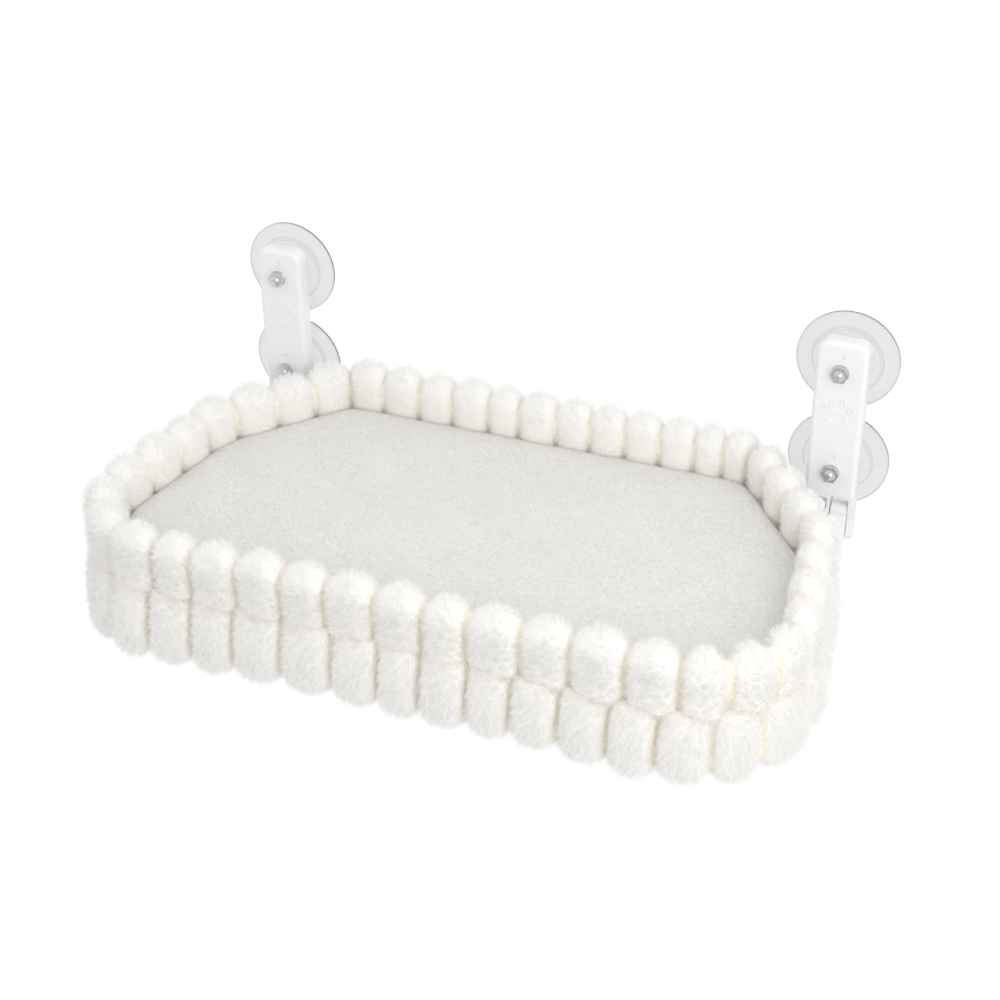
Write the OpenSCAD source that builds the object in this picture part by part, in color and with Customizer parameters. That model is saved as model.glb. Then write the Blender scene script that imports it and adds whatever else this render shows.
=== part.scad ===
// Window mounted cat perch: a plush bed on a steel tube frame, hinged to two plastic arms
// that are held on a window pane by suction cups.
// The pane is the plane y = 0 and the room is on the side of negative y. Millimetres, +Z up.
// The origin is on the pane, in the middle of the four cups.

/* [Window fixing] */
// Distance between the middles of the two arms
arm_spacing = 508; // [500:2:520]
// Height from the lower cup to the upper cup of an arm
cup_spacing = 92; // [88:1:100]

/* [Suction cup] */
// Diameter of the sealing disc
cup_d = 85; // [78:1:87]
// Diameter of the thick middle of the cup
cup_core_d = 56; // [50:1:60]
// Diameter of the neck that bears on the arm
cup_neck_d = 27; // [24:1:30]
// Distance from the pane to the back of the arm
cup_depth = 12.5; // [12:0.5:15]
// Thickness of the disc at its rim
cup_rim_t = 1.4; // [1:0.1:2]

/* [Arm] */
// Width of an arm
arm_w = 42; // [40:1:46]
// Depth of an arm from back to front
arm_depth = 14; // [13:0.5:16]
// Height of the arm above its upper cup's middle
arm_top = 26; // [22:1:30]
// Thickness of the side walls
arm_wall = 2.5; // [2:0.5:3]
// Thickness of the front plate
arm_plate = 3; // [2.5:0.5:4]
// Radius of the arm's corners
arm_corner_r = 10; // [8:1:12]
// Height of the raised paw print
paw_relief = 0.8; // [0.4:0.1:1.2]

/* [Hinge] */
// Depth of the hinge pin below the lower cup's middle
pin_drop = 38; // [36:1:42]
// Diameter of the hinge pin
pin_d = 6; // [5:0.5:7]

/* [Frame] */
// Outer diameter of the bow tube
bow_d = 14; // [12:0.5:14]
// Outer diameter of the cross tubes
cross_d = 10; // [8:0.5:12]
// Wall of the tubes
tube_wall = 1.2; // [1:0.1:1.5]
// Depth of the tubes' middle below the hinge pin
tube_drop = 16; // [15:0.5:18]
// Radius of the bow's front corners, at the tube's middle
bow_bend_r = 45; // [35:1:60]
// Distance from the pane to the bow's front bar
bow_reach = 306; // [290:1:308]

/* [Bed outline, at the middle of the plush rolls] */
// Width of the straight back edge, corner to corner
bed_back_w = 381; // [370:1:384]
// Width where the slanted rear corners end
bed_rear_w = 540; // [536:1:548]
// Width at the front
bed_front_w = 594; // [584:2:620]
// Distance from the pane to the back row of rolls
bed_gap = 22; // [22:1:24]
// Depth of the slanted rear corners
bed_slant = 106; // [100:1:108]
// Depth of the bed from the back row to the front row
bed_depth = 312; // [308:2:330]

/* [Plush rolls] */
// Number of rolls along the back edge
back_rolls = 12; // [10:1:14]
// Number of rolls from one rear corner round the front to the other
wrap_rolls = 31; // [29:2:33]
// Thickness of an upper roll
upper_t = 32; // [28:1:33]
// Height of the upper rolls
upper_h = 50; // [42:1:56]
// Thickness of a lower roll
lower_t = 33; // [30:1:34]
// Height of the lower rolls
lower_h = 60; // [50:1:64]
// Distance by which the lower rolls stand out further at the front
flare = 7; // [4:1:10]

/* [Sleeping surface] */
// Thickness of the pad at its edge
pad_t = 25; // [20:1:30]
// Extra thickness in the middle of the pad
pad_crown = 2; // [1:0.5:4]
// Thickness of the stiff panel under the pad
panel_t = 4; // [3:0.5:5]

/* [Hidden] */
$fn = 64;
hull_fn = 32;

// Clearances and the overrun of every cut
seat_gap = 0.3;
fit_gap = 0.1;
run_gap = 0.05;
side_gap = 0.4;
over = 1;

// Colours
arm_colour = [0.95, 0.95, 0.96];
cup_colour = [0.86, 0.88, 0.9, 0.45];
steel_colour = [0.75, 0.77, 0.8];
tube_colour = [0.9, 0.9, 0.9];
plush_colour = [0.96, 0.94, 0.88];
mat_colour = [0.92, 0.9, 0.86];
panel_colour = [0.72, 0.6, 0.45];
cloth_colour = [0.88, 0.86, 0.82];

// Suction cup details
cup_r = cup_d / 2;
core_r = cup_core_d / 2;
neck_r = cup_neck_d / 2;
core_base = 4.2;
core_step = 2.2;
core_shoulder = 3;
neck_fillet = 2.5;
neck_base = 8.6;
seal_land = 3;
vacuum_lip = 9;
vacuum_lip_h = 0.7;
vacuum_h = 2.2;
vacuum_floor_r = 10;

// Stud, washer and cap nut of an M8 thread
stud_r = 4;
stud_head_r = 8;
stud_head_t = 2.5;
stud_head_base = 4.8;
stud_reach = 1;
washer_r = 7;
washer_t = 1.2;
nut_flats = 13;
nut_r = nut_flats / 2 / cos(30);
nut_t = 5;
nut_dome_r = 5.2;
nut_dome_h = 4;

// Arm details
edge_r = 4;
edge_steps = 5;
boss_r = 9;
rib_t = 2;
rib_depth = 6;
rib_pitch = 23;
vent_r = 2.3;
vent_depth = 1.6;
vent_rise = 14;
plate_drop = 22;
cheek_t = 4;
cheek_drop = 27;
cheek_round = 9;
blind_wall = 1.5;
lug_t = 3;
web_t = 2.5;
web_top = 10;
paw_rise = 5;
paw_pad_r = [8.2, 6.4];
paw_toe_r = [2.9, 4.2];
paw_toes = [[-11.2, 7.6], [-4.2, 13.6], [4.2, 13.6], [11.2, 7.6]];
paw_line = 1.2;
paw_points = 24;

// Hinge and elbow details
pin_r = pin_d / 2;
pin_chamfer = 0.6;
clip_r = 5.5;
clip_t = 1;
knuckle_r = min(arm_depth / 2, 7);
lug_slot = 5;
elbow_neck = 12;
elbow_neck_top = 9;
elbow_heel = 7;
elbow_shoulder = 2;
elbow_shoulder_out = 6;
socket_wall = 4;
socket_start = 30;
socket_end = 70;
socket_floor = 34;
screw_r = 2;
screw_head_r = 3.8;
screw_head_t = 2.2;
screw_back = 14;

// Tube frame details
rear_tube_y = -108;
middle_tube_y = -206;

// Levels
arm_x = arm_spacing / 2;
cup_z = cup_spacing / 2;
arm_back = -cup_depth;
arm_front = -(cup_depth + arm_depth);
pin_y = -(cup_depth + arm_depth / 2);
pin_z = -(cup_z + pin_drop);
plate_end = -(cup_z + plate_drop);
cheek_half = arm_w / 2 - cheek_t;
elbow_half = cheek_half - side_gap;
tube_z = pin_z - tube_drop;
bow_r = bow_d / 2;
cross_r = cross_d / 2;
socket_r = bow_r + socket_wall;
panel_z = tube_z + bow_r + seat_gap;
pad_z = panel_z + panel_t + seat_gap;
pad_top = pad_z + pad_t;
cover_t = 2;
cover_z = tube_z - bow_r - seat_gap - cover_t;
waist_rise = 24;
waist_z = tube_z + waist_rise;
stop_y = arm_back - web_t;

// Outline of the bed, for its right half: the corners and the radii that round them
back_corner_r = 40;
slant_corner_r = 60;
front_corner_r = 79;
corner_points = [
    [0, -bed_gap],
    [bed_back_w / 2, -bed_gap],
    [bed_rear_w / 2, -(bed_gap + bed_slant)],
    [bed_front_w / 2, -(bed_gap + bed_depth)],
    [0, -(bed_gap + bed_depth)],
];
corner_radii = [0, back_corner_r, slant_corner_r, front_corner_r, 0];
arc_steps = 12;

// Form of a roll
roll_station_shares = [-1, -0.64, 0, 0.64];
roll_section = 10;
valley_share = 0.58;
upper_valley_drop = 8;
lower_valley_drop = 7;
section_power = 0.8;
roll_power = 2.4;
seam_gap = 0.4;
section_reach_share = pow(cos(180 / roll_section), section_power);

// Clearance of the bed's parts round the arms, elbows and tubes
slit_gap = 2;

// Pad rings: inset from the pad's own outline, and share of its thickness
pad_inset = upper_t / 2 * section_reach_share + side_gap;
pad_edge_insets = [5, 1, 0, 1.5, 5];
pad_edge_shares = [0, 0.16, 0.5, 0.86, 0.97];
pad_crown_shares = [[0.9, 0.45], [0.7, 0.9], [0.45, 1]];
pad_stations = 56;
panel_inset = lower_t / 2 * section_reach_share + seat_gap;

// Heading and length of the outline's straight stretches
function heading(i) =
    let (d = corner_points[i + 1] - corner_points[i]) atan2(d[1], d[0]);
function turn(i) = heading(i - 1) - heading(i) - 360 * floor((heading(i - 1) - heading(i)) / 360);
function trim(i) = corner_radii[i] == 0 ? 0 : corner_radii[i] * tan(turn(i) / 2);
function stretch(i) = norm(corner_points[i + 1] - corner_points[i]) - trim(i) - trim(i + 1);
function arc_length(i) = corner_radii[i] == 0 ? 0 : corner_radii[i] * turn(i) * PI / 180;
function unit(a) = [cos(a), sin(a)];
function left_of(a) = [-sin(a), cos(a)];

// Length along the half outline at which corner i starts to turn
function corner_start(i) = i == 0 ? 0 : corner_start(i - 1) + arc_length(i - 1) + stretch(i - 1);
half_length = corner_start(3) + arc_length(3) + stretch(3);
back_half = corner_start(1) + arc_length(1) / 2;

// Table of [length, x, y, heading] along the half outline
outline_table = [
    [0, 0, -bed_gap, 0],
    for (i = [1:3])
        let (
            r = corner_radii[i],
            a = heading(i - 1),
            p = corner_points[i] - trim(i) * unit(a),
            c = p - r * left_of(a)
        )
        for (k = [0:arc_steps])
            let (b = a - turn(i) * k / arc_steps, q = c + r * left_of(b))
            [corner_start(i) + arc_length(i) * k / arc_steps, q[0], q[1], b],
    [half_length, 0, -(bed_gap + bed_depth), heading(3) - 360 * ceil(heading(3) / 360)],
];
function column(n) = [for (t = outline_table) [t[0], t[n]]];
x_table = column(1);
y_table = column(2);
a_table = column(3);

// Point and outward direction of the whole outline, by length from the middle of the back edge
function on_half(s) = [lookup(s, x_table), lookup(s, y_table)];
function out_half(s) = left_of(lookup(s, a_table));
function mirrored(p) = [-p[0], p[1]];
function outline_point(s) =
    s < 0 ? mirrored(on_half(-s))
    : s > half_length ? mirrored(on_half(2 * half_length - s))
    : on_half(s);
function outline_out(s) =
    s < 0 ? mirrored(out_half(-s))
    : s > half_length ? mirrored(out_half(2 * half_length - s))
    : out_half(s);
function spread_at(p, spread) = spread * (-p[1] - bed_gap) / bed_depth;
function inset_outline(inset, spread, count) = [
    for (k = [0:count - 1])
        let (s = 2 * half_length * (1 - k / count), p = outline_point(s))
        p + (spread_at(p, spread) - inset) * outline_out(s)
];

// Lengths at which the rolls of a run start
back_pitch = 2 * back_half / back_rolls;
wrap_pitch = 2 * (half_length - back_half) / wrap_rolls;
rear_count = 4;
side_count = 3;
corner_count = 3;
front_count = wrap_rolls - 2 * (rear_count + side_count + corner_count);

// A power that keeps the sign, and the swelling of a roll from its seam at -1 to its seam at 1
function signed_power(v, p) = sign(v) * pow(abs(v), p);
function swell(u) = sqrt(max(0, 1 - pow(abs(u), roll_power)));

module at_arm(side) {
    translate([side * arm_x, 0, 0]) children();
}

// A shape drawn round the Z axis, laid so that its axis points from the pane into the room
module into_room(start) {
    translate([0, -start, 0]) rotate([90, 0, 0]) children();
}

module suction_cup() {
    color(cup_colour)
    into_room(0)
    difference() {
        rotate_extrude() polygon([
            [0, vacuum_h],
            [vacuum_floor_r, vacuum_h],
            [cup_r - seal_land - vacuum_lip, vacuum_lip_h],
            [cup_r - seal_land, 0],
            [cup_r, 0],
            [cup_r, cup_rim_t],
            [core_r + core_shoulder / 2, core_base],
            [core_r, core_base + core_step],
            [core_r - core_shoulder, core_base + core_step + core_shoulder / 4],
            [neck_r + neck_fillet, neck_base],
            [neck_r, neck_base + neck_fillet / 2],
            [neck_r, cup_depth],
            [0, cup_depth],
        ]);
        translate([0, 0, stud_head_base - fit_gap])
            cylinder(r = stud_head_r + fit_gap, h = stud_head_t + 2 * fit_gap);
        translate([0, 0, stud_head_base]) cylinder(r = stud_r + fit_gap, h = cup_depth);
    }
}

module cup_stud() {
    stud_end = cup_depth + arm_depth + washer_t + nut_t + stud_reach;
    color(steel_colour)
    into_room(0) {
        translate([0, 0, stud_head_base]) {
            cylinder(r = stud_head_r, h = stud_head_t);
            cylinder(r = stud_r, h = stud_end - stud_head_base);
        }
    }
}

module washer() {
    color(steel_colour)
    into_room(cup_depth + arm_depth)
    difference() {
        cylinder(r = washer_r, h = washer_t);
        translate([0, 0, -over]) cylinder(r = stud_r + fit_gap, h = washer_t + 2 * over);
    }
}

// A hexagon with a domed end and a blind hole for the stud
module cap_nut() {
    dome_r = (pow(nut_dome_r, 2) + pow(nut_dome_h, 2)) / (2 * nut_dome_h);
    color(steel_colour)
    into_room(cup_depth + arm_depth + washer_t)
    difference() {
        union() {
            cylinder(r = nut_r, h = nut_t, $fn = 6);
            intersection() {
                translate([0, 0, nut_t + nut_dome_h - dome_r]) sphere(r = dome_r);
                cylinder(r = nut_dome_r, h = nut_t + nut_dome_h);
            }
        }
        translate([0, 0, -over])
            cylinder(r = stud_r + fit_gap, h = over + nut_t + stud_reach + fit_gap);
    }
}

module each_cup() {
    for (level = [-1, 1]) translate([0, 0, level * cup_z]) children();
}

// A post of the arm's outline, its front edge rounded, drawn from the back of the arm
module arm_post(r, depth) {
    into_room(cup_depth)
    rotate_extrude($fn = hull_fn) polygon([
        [0, 0],
        [r, 0],
        for (k = [0:edge_steps])
            let (a = 90 * k / edge_steps)
            [r - edge_r + edge_r * cos(a), depth - edge_r + edge_r * sin(a)],
        [0, depth],
    ]);
}

module arm_block(inset, depth, low) {
    half = arm_w / 2 - arm_corner_r;
    high = cup_z + arm_top - arm_corner_r;
    hull() {
        for (side = [-1, 1], z = [low + arm_corner_r, high])
            translate([side * half, 0, z]) arm_post(arm_corner_r - inset, depth);
    }
}

function ellipse_points(radii) = [
    for (k = [0:paw_points - 1])
        let (a = 360 * k / paw_points)
        [radii[0] * cos(a), radii[1] * sin(a)]
];

module ellipse_ring(radii, height) {
    inner = [radii[0] - paw_line, radii[1] - paw_line];
    linear_extrude(height) difference() {
        polygon(ellipse_points(radii));
        polygon(ellipse_points(inner));
    }
}

// Raised outlines of a paw's pad and four toes
module paw_print() {
    translate([0, 0, paw_rise])
    into_room(cup_depth + arm_depth - edge_r / 2) {
        ellipse_ring(paw_pad_r, edge_r / 2 + paw_relief);
        for (toe = paw_toes)
            translate(toe) ellipse_ring(paw_toe_r, edge_r / 2 + paw_relief);
    }
}

// Bosses for the studs, a middle rib that ends in the hinge lug, and cross ribs
module arm_inside() {
    inner = arm_depth - arm_plate / 2;
    each_cup() into_room(cup_depth) cylinder(r = boss_r, h = inner);
    translate([-lug_t / 2, arm_back - inner, plate_end])
        cube([lug_t, inner, cup_z + arm_top - plate_end - arm_wall / 2]);
    translate([-lug_t / 2, arm_back - inner, pin_z])
        cube([lug_t, inner, plate_end - pin_z + over]);
    translate([-lug_t / 2, pin_y, pin_z]) rotate([0, 90, 0]) cylinder(r = knuckle_r, h = lug_t);
    for (k = [-1:1])
        translate([-arm_w / 2 + arm_wall / 2, arm_front + arm_plate / 2, k * rib_pitch - rib_t / 2])
            cube([arm_w - arm_wall, rib_depth, rib_t]);
}

// A cheek's outline, seen from the side: its front edge is round and its foot draws in
module cheek_outline() {
    low = pin_z - cheek_drop;
    round_z = low + cheek_round;
    hull() {
        translate([arm_front, plate_end]) square([arm_depth, over]);
        translate([pin_y, pin_z]) circle(r = arm_depth / 2);
        translate([arm_front + cheek_round, round_z]) circle(r = cheek_round, $fn = hull_fn);
        translate([arm_back - web_t, low]) square([web_t, cheek_round]);
    }
}

// The cheeks that hold the pin, and the web that stops the bed from dropping
module arm_hinge() {
    for (side = [-1, 1])
        translate([side * (arm_w / 2 - cheek_t / 2) - cheek_t / 2, 0, 0])
            rotate([90, 0, 90]) linear_extrude(cheek_t) cheek_outline();
    translate([-arm_w / 2 + cheek_t / 2, stop_y, pin_z - cheek_drop])
        cube([arm_w - cheek_t, web_t, cheek_drop - web_top]);
}

// The outer cheek's hole for the pin is blind
module arm(side) {
    color(arm_colour)
    difference() {
        union() {
            difference() {
                arm_block(0, arm_depth, plate_end - arm_corner_r);
                translate([0, over, 0])
                    arm_block(arm_wall, arm_depth - arm_plate + over, plate_end);
                translate([-arm_w, arm_front - over, plate_end - arm_w])
                    cube([2 * arm_w, arm_depth + 2 * over, arm_w]);
            }
            arm_inside();
            arm_hinge();
            paw_print();
        }
        each_cup() into_room(0) {
            cylinder(r = stud_r + fit_gap, h = cup_depth + arm_depth + over);
            translate([0, vent_rise, cup_depth + arm_depth - vent_depth])
                cylinder(r = vent_r, h = vent_depth + over);
        }
        translate([side * (arm_w / 2 - blind_wall), pin_y, pin_z]) rotate([0, -side * 90, 0])
            cylinder(r = pin_r + run_gap, h = arm_w);
    }
}

// The pin ends in the outer cheek's blind hole, and a clip holds its other end
module hinge_pin(side) {
    length = arm_w - blind_wall + clip_t + over;
    color(steel_colour)
    translate([side * (arm_w / 2 - blind_wall), pin_y, pin_z]) rotate([0, -side * 90, 0]) {
        cylinder(r = pin_r, h = length - pin_chamfer);
        translate([0, 0, length - pin_chamfer])
            cylinder(r1 = pin_r, r2 = pin_r - pin_chamfer, h = pin_chamfer);
    }
}

module pin_clip(side) {
    color(steel_colour)
    translate([-side * arm_w / 2, pin_y, pin_z]) rotate([0, -side * 90, 0])
    difference() {
        cylinder(r = clip_r, h = clip_t);
        translate([0, 0, -over]) cylinder(r = pin_r + run_gap, h = clip_t + 2 * over);
    }
}

// Drawn from the pin: x across, y out of the pane is negative, z up
module elbow() {
    heel_out = -(arm_depth / 2 - web_t - seat_gap);
    low = -(tube_drop + elbow_heel);
    color(arm_colour)
    translate([0, pin_y, pin_z])
    difference() {
        union() {
            translate([-elbow_half, 0, 0]) rotate([0, 90, 0])
                cylinder(r = knuckle_r, h = 2 * elbow_half);
            translate([-elbow_half, 0, 0]) rotate([90, 0, 90])
                linear_extrude(2 * elbow_half)
                    polygon([
                        [-heel_out, -elbow_shoulder],
                        [-heel_out, low],
                        [-elbow_neck, low],
                        [-elbow_neck, -elbow_neck_top],
                        [-elbow_shoulder_out, -elbow_shoulder],
                    ]);
            hull() {
                translate([-elbow_half, -elbow_neck, low])
                    cube([2 * elbow_half, over, -elbow_neck_top - low]);
                translate([0, -socket_start, -tube_drop]) rotate([90, 0, 0])
                    cylinder(r = socket_r, h = over, $fn = hull_fn);
            }
            translate([0, -socket_start, -tube_drop]) rotate([90, 0, 0])
                cylinder(r = socket_r, h = socket_end - socket_start);
        }
        translate([-arm_w, 0, 0]) rotate([0, 90, 0]) cylinder(r = pin_r + run_gap, h = 2 * arm_w);
        translate([-lug_slot / 2, -elbow_neck + lug_t, low - over])
            cube([lug_slot, elbow_neck + knuckle_r, -low + knuckle_r + 2 * over]);
        translate([0, -socket_floor, -tube_drop]) rotate([90, 0, 0])
            cylinder(r = bow_r + fit_gap, h = socket_end);
        translate([0, -(socket_end - screw_back), low - socket_r])
            cylinder(r = screw_r + fit_gap, h = tube_drop);
    }
}

module socket_screw() {
    head_z = tube_z - socket_r;
    color(steel_colour)
    translate([0, pin_y - socket_end + screw_back, head_z]) {
        translate([0, 0, -screw_head_t]) cylinder(r = screw_head_r, h = screw_head_t);
        cylinder(r = screw_r, h = socket_wall + tube_wall + over);
    }
}

module tube_ring(r) {
    difference() {
        circle(r = r);
        circle(r = r - tube_wall);
    }
}

// A straight stretch of tube between two points at the frame's level
module straight_tube(from, to, r) {
    d = to - from;
    translate([from[0], from[1], tube_z]) rotate([0, 0, atan2(d[1], d[0])]) rotate([0, 90, 0])
        linear_extrude(norm(d)) tube_ring(r);
}

module bent_tube(centre, bend_r, start, angle, r) {
    translate([centre[0], centre[1], tube_z]) rotate([0, 0, start])
        rotate_extrude(angle = angle) translate([bend_r, 0]) tube_ring(r);
}

// One tube, bent into the sides and front of the frame
module bow_tube() {
    side_end = pin_y - socket_floor - seat_gap;
    bend_y = -(bow_reach - bow_bend_r);
    bend_x = arm_x - bow_bend_r;
    color(tube_colour)
    difference() {
        union() {
            for (side = [-1, 1]) {
                straight_tube([side * arm_x, bend_y], [side * arm_x, side_end], bow_r);
                bent_tube([side * bend_x, bend_y], bow_bend_r, side > 0 ? -90 : 180, 90, bow_r);
            }
            straight_tube([-bend_x, -bow_reach], [bend_x, -bow_reach], bow_r);
        }
        for (side = [-1, 1])
            translate([side * arm_x, pin_y - socket_end + screw_back, tube_z - socket_r])
                cylinder(r = screw_r + fit_gap, h = socket_r);
    }
}

// Where a cross tube is notched to fit round the bow's sides
module bow_sides() {
    for (side = [-1, 1])
        translate([side * arm_x, 0, tube_z]) rotate([90, 0, 0])
            cylinder(r = bow_r, h = bow_reach - bow_bend_r);
}

// A straight tube welded between the bow's sides
module cross_tube(y) {
    color(tube_colour)
    difference() {
        straight_tube([-arm_x, y], [arm_x, y], cross_r);
        bow_sides();
    }
}

module flat_panel(inset, z, t) {
    translate([0, 0, z]) linear_extrude(t) polygon(inset_outline(inset, flare, pad_stations));
}

module base_panel() {
    color(panel_colour)
    difference() {
        flat_panel(panel_inset, panel_z, panel_t);
        elbow_room();
    }
}

module under_cover() {
    color(cloth_colour)
    difference() {
        flat_panel(panel_inset, cover_z, cover_t);
        elbow_room();
    }
}

// The middle of a ring
function ring_middle(ring) = [for (axis = [0:2]) [for (p = ring) p[axis]] * [for (p = ring) 1]] / len(ring);

// Closed skin over rings that all have the same number of points
module ring_skin(rings) {
    m = len(rings[0]);
    last = len(rings) - 1;
    first_middle = (last + 1) * m;
    polyhedron(
        points = [
            for (ring = rings) each ring,
            ring_middle(rings[0]),
            ring_middle(rings[last]),
        ],
        faces = [
            for (i = [0:m - 1]) [first_middle, i, (i + 1) % m],
            for (j = [0:last - 1], i = [0:m - 1])
                let (n = (i + 1) % m, a = j * m + i, b = j * m + n)
                each [[a, a + m, b + m], [a, b + m, b]],
            for (i = [0:m - 1]) [first_middle + 1, last * m + (i + 1) % m, last * m + i],
        ]
    );
}

// Crowned cushion whose sides draw in above and below a full middle
module pad() {
    middle = [0, -(bed_gap + bed_depth / 2)];
    edge_rings = [
        for (k = [0:len(pad_edge_insets) - 1])
            [for (p = inset_outline(pad_inset + pad_edge_insets[k], 0, pad_stations))
                [p[0], p[1], pad_z + pad_t * pad_edge_shares[k]]]
    ];
    edge = inset_outline(pad_inset + pad_edge_insets[4], 0, pad_stations);
    crown_rings = [
        for (c = pad_crown_shares)
            [for (p = edge)
                let (q = middle + c[0] * (p - middle)) [q[0], q[1], pad_top + pad_crown * c[1]]]
    ];
    color(mat_colour) ring_skin(concat(edge_rings, crown_rings));
}

// One section of a roll run at length s: u is the place across its roll, from seam to seam
function roll_ring(s, u, low, high, t, drop, spread) =
    let (
        w = swell(u),
        half_t = t / 2 * (valley_share + (1 - valley_share) * w),
        up = high - (low > waist_z - over ? drop * (1 - w) : 0),
        down = low + (low > waist_z - over ? 0 : drop * (1 - w)),
        p = outline_point(s),
        o = outline_out(s),
        shift = spread_at(p, spread)
    )
    [
        for (i = [0:roll_section - 1])
            let (
                a = 360 * (i + 0.5) / roll_section,
                n = half_t * signed_power(cos(a), section_power) + shift,
                z = (up + down) / 2 + (up - down) / 2 * signed_power(sin(a), section_power)
            )
            [p[0] + n * o[0], p[1] + n * o[1], z]
    ];

// A run of rolls from length start, one pitch each, its ends just short of the neighbours
module roll_run(start, pitch, count, low, high, t, drop, spread) {
    rings = [
        for (k = [0:count - 1], u = roll_station_shares)
            roll_ring(start + pitch * (k + (1 + u) / 2) + (k == 0 && u == -1 ? seam_gap / 2 : 0),
                u, low, high, t, drop, spread),
        roll_ring(start + pitch * count - seam_gap / 2, 1, low, high, t, drop, spread),
    ];
    color(plush_colour) ring_skin(rings);
}

module upper_run(start, pitch, count) {
    roll_run(start, pitch, count, waist_z + seam_gap / 2, waist_z + upper_h,
        upper_t, upper_valley_drop, 0);
}

// The space that the bed leaves for the arms and their cups
module arm_room() {
    half = arm_w / 2 + slit_gap;
    low = pin_z - cheek_drop - slit_gap;
    for (side = [-1, 1]) translate([side * arm_x, 0, 0]) {
        translate([-half, arm_front - slit_gap, low])
            cube([2 * half, slit_gap - arm_front, cup_z + arm_top + slit_gap - low]);
        each_cup() into_room(0) {
            cylinder(r = cup_r + slit_gap, h = cup_depth);
            cylinder(r = nut_r + slit_gap, h = slit_gap - arm_front + washer_t + nut_t + nut_dome_h);
        }
    }
}

// The space that the bed leaves for the elbows: their necks, and then their sockets
module elbow_room() {
    neck_half = elbow_half + slit_gap;
    socket_half = socket_r + slit_gap;
    low = -(tube_drop + socket_half + screw_head_t);
    for (side = [-1, 1]) translate([side * arm_x, pin_y, pin_z]) {
        translate([-neck_half, -(socket_start + slit_gap), low])
            cube([2 * neck_half, socket_start + slit_gap + knuckle_r, knuckle_r + slit_gap - low]);
        translate([-socket_half, -(socket_end + slit_gap), low])
            cube([2 * socket_half, socket_end, socket_half - tube_drop - low]);
    }
}

// The space that the lower rolls leave for the tubes
module tube_room() {
    r = bow_r + slit_gap;
    notch = 2 * (cross_r + slit_gap);
    bend_x = arm_x - bow_bend_r;
    translate([0, 0, tube_z]) {
        for (side = [-1, 1]) {
            translate([side * arm_x, pin_y - socket_start, 0]) rotate([90, 0, 0])
                cylinder(r = r, h = bow_reach - bow_bend_r + pin_y - socket_start);
            translate([side * bend_x, -(bow_reach - bow_bend_r), 0])
                rotate([0, 0, side > 0 ? -90 : 180])
                rotate_extrude(angle = 90) translate([bow_bend_r, 0]) circle(r = r);
        }
        translate([-bend_x, -bow_reach, 0]) rotate([0, 90, 0]) cylinder(r = r, h = 2 * bend_x);
        for (y = [rear_tube_y, middle_tube_y])
            translate([-arm_x, y - notch / 2, -notch / 2]) cube([2 * arm_x, notch, notch]);
    }
}

// The upper rolls beside the arms
module upper_near_run(start, pitch, count) {
    color(plush_colour)
    difference() {
        upper_run(start, pitch, count);
        arm_room();
    }
}

module lower_run(start, pitch, count) {
    color(plush_colour)
    difference() {
        roll_run(start, pitch, count, waist_z - lower_h, waist_z - seam_gap / 2,
            lower_t, lower_valley_drop, flare);
        arm_room();
        elbow_room();
        tube_room();
    }
}

function wrap_start(first) = back_half + wrap_pitch * first;
side_first = rear_count;
corner_first = side_first + side_count;
front_first = corner_first + corner_count;
left_corner_first = front_first + front_count;
left_side_first = left_corner_first + corner_count;
left_rear_first = left_side_first + side_count;

at_arm(-1) arm(-1);  // arm_left
at_arm(1) arm(1);  // arm_right
at_arm(-1) translate([0, 0, cup_z]) suction_cup();  // cup_left_upper
at_arm(-1) translate([0, 0, -cup_z]) suction_cup();  // cup_left_lower
at_arm(1) translate([0, 0, cup_z]) suction_cup();  // cup_right_upper
at_arm(1) translate([0, 0, -cup_z]) suction_cup();  // cup_right_lower
at_arm(-1) each_cup() cup_stud();  // cup_studs_left
at_arm(1) each_cup() cup_stud();  // cup_studs_right
at_arm(-1) each_cup() washer();  // washers_left
at_arm(1) each_cup() washer();  // washers_right
at_arm(-1) each_cup() cap_nut();  // cap_nuts_left
at_arm(1) each_cup() cap_nut();  // cap_nuts_right
at_arm(-1) hinge_pin(-1);  // hinge_pin_left
at_arm(1) hinge_pin(1);  // hinge_pin_right
at_arm(-1) pin_clip(-1);  // pin_clip_left
at_arm(1) pin_clip(1);  // pin_clip_right
at_arm(-1) elbow();  // elbow_left
at_arm(1) elbow();  // elbow_right
at_arm(-1) socket_screw();  // socket_screw_left
at_arm(1) socket_screw();  // socket_screw_right
bow_tube();
cross_tube(rear_tube_y);  // rear_tube
cross_tube(middle_tube_y);  // middle_tube
base_panel();
pad();
under_cover();
upper_near_run(-back_half, back_pitch, back_rolls);  // rolls_upper_back
upper_near_run(wrap_start(0), wrap_pitch, rear_count);  // rolls_upper_rear_right
upper_run(wrap_start(side_first), wrap_pitch, side_count);  // rolls_upper_side_right
upper_run(wrap_start(corner_first), wrap_pitch, corner_count);  // rolls_upper_corner_right
upper_run(wrap_start(front_first), wrap_pitch, front_count);  // rolls_upper_front
upper_run(wrap_start(left_corner_first), wrap_pitch, corner_count);  // rolls_upper_corner_left
upper_run(wrap_start(left_side_first), wrap_pitch, side_count);  // rolls_upper_side_left
upper_near_run(wrap_start(left_rear_first), wrap_pitch, rear_count);  // rolls_upper_rear_left
lower_run(-back_half, back_pitch, back_rolls);  // rolls_lower_back
lower_run(wrap_start(0), wrap_pitch, rear_count);  // rolls_lower_rear_right
lower_run(wrap_start(side_first), wrap_pitch, side_count);  // rolls_lower_side_right
lower_run(wrap_start(corner_first), wrap_pitch, corner_count);  // rolls_lower_corner_right
lower_run(wrap_start(front_first), wrap_pitch, front_count);  // rolls_lower_front
lower_run(wrap_start(left_corner_first), wrap_pitch, corner_count);  // rolls_lower_corner_left
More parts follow.
